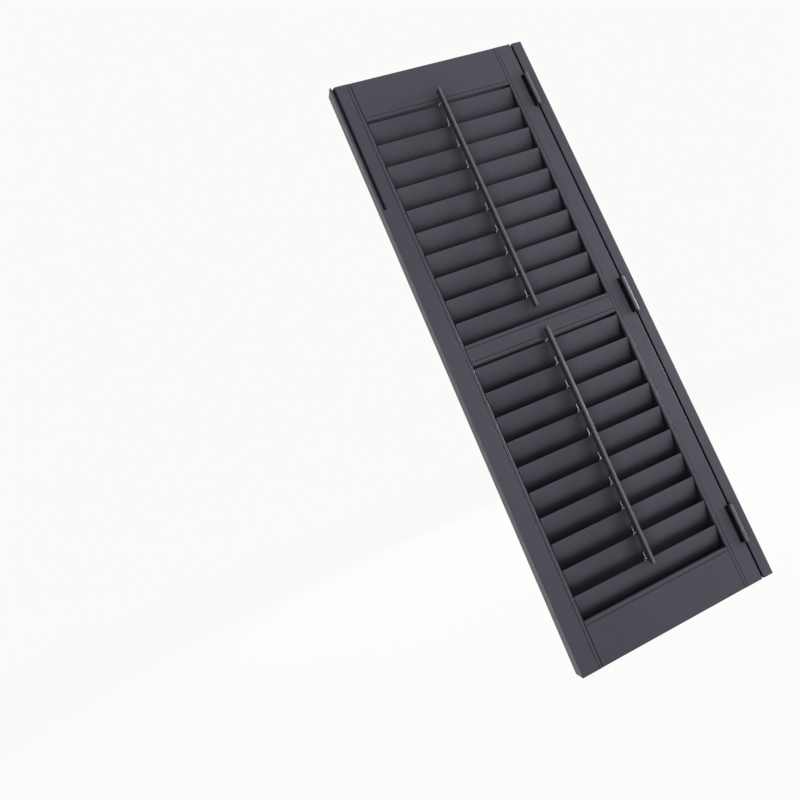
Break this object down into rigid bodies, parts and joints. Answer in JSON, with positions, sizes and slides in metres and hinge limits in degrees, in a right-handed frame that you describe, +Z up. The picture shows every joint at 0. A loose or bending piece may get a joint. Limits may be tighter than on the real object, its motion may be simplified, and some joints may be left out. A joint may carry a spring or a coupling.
{
  "type": "bifold window shutter panel with hang strip",
  "caption": "Louvred shutter leaf on a hang strip, with two banks of tilting louvres, each moved by a front tilt rod.",
  "frame": {"origin": "centre of the hang strip's jamb face, at mid-height and mid-thickness", "axes": "+X out of the jamb face, from the leaf to the window jamb; -Y the front, where the tilt rods and the hinge barrels are; +Z up"},
  "size_m": [0.456, 0.0504, 1.25],
  "materials": {
    "paint": "satin dark slate grey paint",
    "nickel": "dark satin nickel plate"
  },
  "bodies": {
    "hang_strip": {"hang_strip": "paint", "top_hinge_strip_plate": "nickel", "top_hinge_pin": "nickel", "middle_hinge_strip_plate": "nickel", "middle_hinge_pin": "nickel", "bottom_hinge_strip_plate": "nickel", "bottom_hinge_pin": "nickel"},
    "leaf": {"hinge_stile": "paint", "meeting_stile": "paint", "top_rail": "paint", "divider_rail": "paint", "bottom_rail": "paint", "top_hinge_leaf_plate": "nickel", "middle_hinge_leaf_plate": "nickel", "bottom_hinge_leaf_plate": "nickel"},
    "upper_louvre_01": {"upper_louvre_01": "paint"},
    "upper_louvre_02": {"upper_louvre_02": "paint"},
    "upper_louvre_03": {"upper_louvre_03": "paint"},
    "upper_louvre_04": {"upper_louvre_04": "paint"},
    "upper_louvre_05": {"upper_louvre_05": "paint"},
    "upper_louvre_06": {"upper_louvre_06": "paint"},
    "upper_louvre_07": {"upper_louvre_07": "paint"},
    "upper_louvre_08": {"upper_louvre_08": "paint"},
    "upper_louvre_09": {"upper_louvre_09": "paint"},
    "upper_louvre_10": {"upper_louvre_10": "paint"},
    "upper_tilt_rod": {"upper_tilt_rod": "paint"},
    "lower_louvre_01": {"lower_louvre_01": "paint"},
    "lower_louvre_02": {"lower_louvre_02": "paint"},
    "lower_louvre_03": {"lower_louvre_03": "paint"},
    "lower_louvre_04": {"lower_louvre_04": "paint"},
    "lower_louvre_05": {"lower_louvre_05": "paint"},
    "lower_louvre_06": {"lower_louvre_06": "paint"},
    "lower_louvre_07": {"lower_louvre_07": "paint"},
    "lower_louvre_08": {"lower_louvre_08": "paint"},
    "lower_louvre_09": {"lower_louvre_09": "paint"},
    "lower_louvre_10": {"lower_louvre_10": "paint"},
    "lower_tilt_rod": {"lower_tilt_rod": "paint"}
  },
  "joints": [
    {"name": "leaf_swing", "type": "hinge", "parent": "hang_strip", "child": "leaf", "pos_m": [-0.02575, -0.0186, 0], "axis": [0, 0, 1], "range_deg": [0, 180]},
    {"name": "upper_louvre_01_tilt", "type": "hinge", "parent": "leaf", "child": "upper_louvre_01", "pos_m": [-0.2415, 0, 0.4956], "axis": [1, 0, 0], "range_deg": [0, 85]},
    {"name": "upper_louvre_02_tilt", "type": "hinge", "parent": "leaf", "child": "upper_louvre_02", "pos_m": [-0.2415, 0, 0.44514], "axis": [1, 0, 0], "range_deg": [0, 85]},
    {"name": "upper_louvre_03_tilt", "type": "hinge", "parent": "leaf", "child": "upper_louvre_03", "pos_m": [-0.2415, 0, 0.39469], "axis": [1, 0, 0], "range_deg": [0, 85]},
    {"name": "upper_louvre_04_tilt", "type": "hinge", "parent": "leaf", "child": "upper_louvre_04", "pos_m": [-0.2415, 0, 0.34423], "axis": [1, 0, 0], "range_deg": [0, 85]},
    {"name": "upper_tilt", "type": "hinge", "parent": "leaf", "child": "upper_louvre_05", "pos_m": [-0.2415, 0, 0.29378], "axis": [1, 0, 0], "range_deg": [0, 85]},
    {"name": "upper_louvre_06_tilt", "type": "hinge", "parent": "leaf", "child": "upper_louvre_06", "pos_m": [-0.2415, 0, 0.24332], "axis": [1, 0, 0], "range_deg": [0, 85]},
    {"name": "upper_louvre_07_tilt", "type": "hinge", "parent": "leaf", "child": "upper_louvre_07", "pos_m": [-0.2415, 0, 0.19287], "axis": [1, 0, 0], "range_deg": [0, 85]},
    {"name": "upper_louvre_08_tilt", "type": "hinge", "parent": "leaf", "child": "upper_louvre_08", "pos_m": [-0.2415, 0, 0.14241], "axis": [1, 0, 0], "range_deg": [0, 85]},
    {"name": "upper_louvre_09_tilt", "type": "hinge", "parent": "leaf", "child": "upper_louvre_09", "pos_m": [-0.2415, 0, 0.09196], "axis": [1, 0, 0], "range_deg": [0, 85]},
    {"name": "upper_louvre_10_tilt", "type": "hinge", "parent": "leaf", "child": "upper_louvre_10", "pos_m": [-0.2415, 0, 0.0415], "axis": [1, 0, 0], "range_deg": [0, 85]},
    {"name": "upper_rod_pivot", "type": "hinge", "parent": "upper_louvre_05", "child": "upper_tilt_rod", "pos_m": [-0.2415, -0.01409, 0.32864], "axis": [1, 0, 0], "range_deg": [-85, 0]},
    {"name": "lower_louvre_01_tilt", "type": "hinge", "parent": "leaf", "child": "lower_louvre_01", "pos_m": [-0.2415, 0, -0.0554], "axis": [1, 0, 0], "range_deg": [0, 85]},
    {"name": "lower_louvre_02_tilt", "type": "hinge", "parent": "leaf", "child": "lower_louvre_02", "pos_m": [-0.2415, 0, -0.1073], "axis": [1, 0, 0], "range_deg": [0, 85]},
    {"name": "lower_louvre_03_tilt", "type": "hinge", "parent": "leaf", "child": "lower_louvre_03", "pos_m": [-0.2415, 0, -0.1592], "axis": [1, 0, 0], "range_deg": [0, 85]},
    {"name": "lower_louvre_04_tilt", "type": "hinge", "parent": "leaf", "child": "lower_louvre_04", "pos_m": [-0.2415, 0, -0.2111], "axis": [1, 0, 0], "range_deg": [0, 85]},
    {"name": "lower_tilt", "type": "hinge", "parent": "leaf", "child": "lower_louvre_05", "pos_m": [-0.2415, 0, -0.263], "axis": [1, 0, 0], "range_deg": [0, 85]},
    {"name": "lower_louvre_06_tilt", "type": "hinge", "parent": "leaf", "child": "lower_louvre_06", "pos_m": [-0.2415, 0, -0.3149], "axis": [1, 0, 0], "range_deg": [0, 85]},
    {"name": "lower_louvre_07_tilt", "type": "hinge", "parent": "leaf", "child": "lower_louvre_07", "pos_m": [-0.2415, 0, -0.3668], "axis": [1, 0, 0], "range_deg": [0, 85]},
    {"name": "lower_louvre_08_tilt", "type": "hinge", "parent": "leaf", "child": "lower_louvre_08", "pos_m": [-0.2415, 0, -0.4187], "axis": [1, 0, 0], "range_deg": [0, 85]},
    {"name": "lower_louvre_09_tilt", "type": "hinge", "parent": "leaf", "child": "lower_louvre_09", "pos_m": [-0.2415, 0, -0.4706], "axis": [1, 0, 0], "range_deg": [0, 85]},
    {"name": "lower_louvre_10_tilt", "type": "hinge", "parent": "leaf", "child": "lower_louvre_10", "pos_m": [-0.2415, 0, -0.5225], "axis": [1, 0, 0], "range_deg": [0, 85]},
    {"name": "lower_rod_pivot", "type": "hinge", "parent": "lower_louvre_05", "child": "lower_tilt_rod", "pos_m": [-0.2415, -0.01409, -0.22814], "axis": [1, 0, 0], "range_deg": [-85, 0]}
  ],
  "couplings": [
    {"joint": "upper_louvre_01_tilt", "follows": "upper_tilt", "ratio": 1},
    {"joint": "upper_louvre_02_tilt", "follows": "upper_tilt", "ratio": 1},
    {"joint": "upper_louvre_03_tilt", "follows": "upper_tilt", "ratio": 1},
    {"joint": "upper_louvre_04_tilt", "follows": "upper_tilt", "ratio": 1},
    {"joint": "upper_louvre_06_tilt", "follows": "upper_tilt", "ratio": 1},
    {"joint": "upper_louvre_07_tilt", "follows": "upper_tilt", "ratio": 1},
    {"joint": "upper_louvre_08_tilt", "follows": "upper_tilt", "ratio": 1},
    {"joint": "upper_louvre_09_tilt", "follows": "upper_tilt", "ratio": 1},
    {"joint": "upper_louvre_10_tilt", "follows": "upper_tilt", "ratio": 1},
    {"joint": "upper_rod_pivot", "follows": "upper_tilt", "ratio": -1},
    {"joint": "lower_louvre_01_tilt", "follows": "lower_tilt", "ratio": 1},
    {"joint": "lower_louvre_02_tilt", "follows": "lower_tilt", "ratio": 1},
    {"joint": "lower_louvre_03_tilt", "follows": "lower_tilt", "ratio": 1},
    {"joint": "lower_louvre_04_tilt", "follows": "lower_tilt", "ratio": 1},
    {"joint": "lower_louvre_06_tilt", "follows": "lower_tilt", "ratio": 1},
    {"joint": "lower_louvre_07_tilt", "follows": "lower_tilt", "ratio": 1},
    {"joint": "lower_louvre_08_tilt", "follows": "lower_tilt", "ratio": 1},
    {"joint": "lower_louvre_09_tilt", "follows": "lower_tilt", "ratio": 1},
    {"joint": "lower_louvre_10_tilt", "follows": "lower_tilt", "ratio": 1},
    {"joint": "lower_rod_pivot", "follows": "lower_tilt", "ratio": -1}
  ]
}
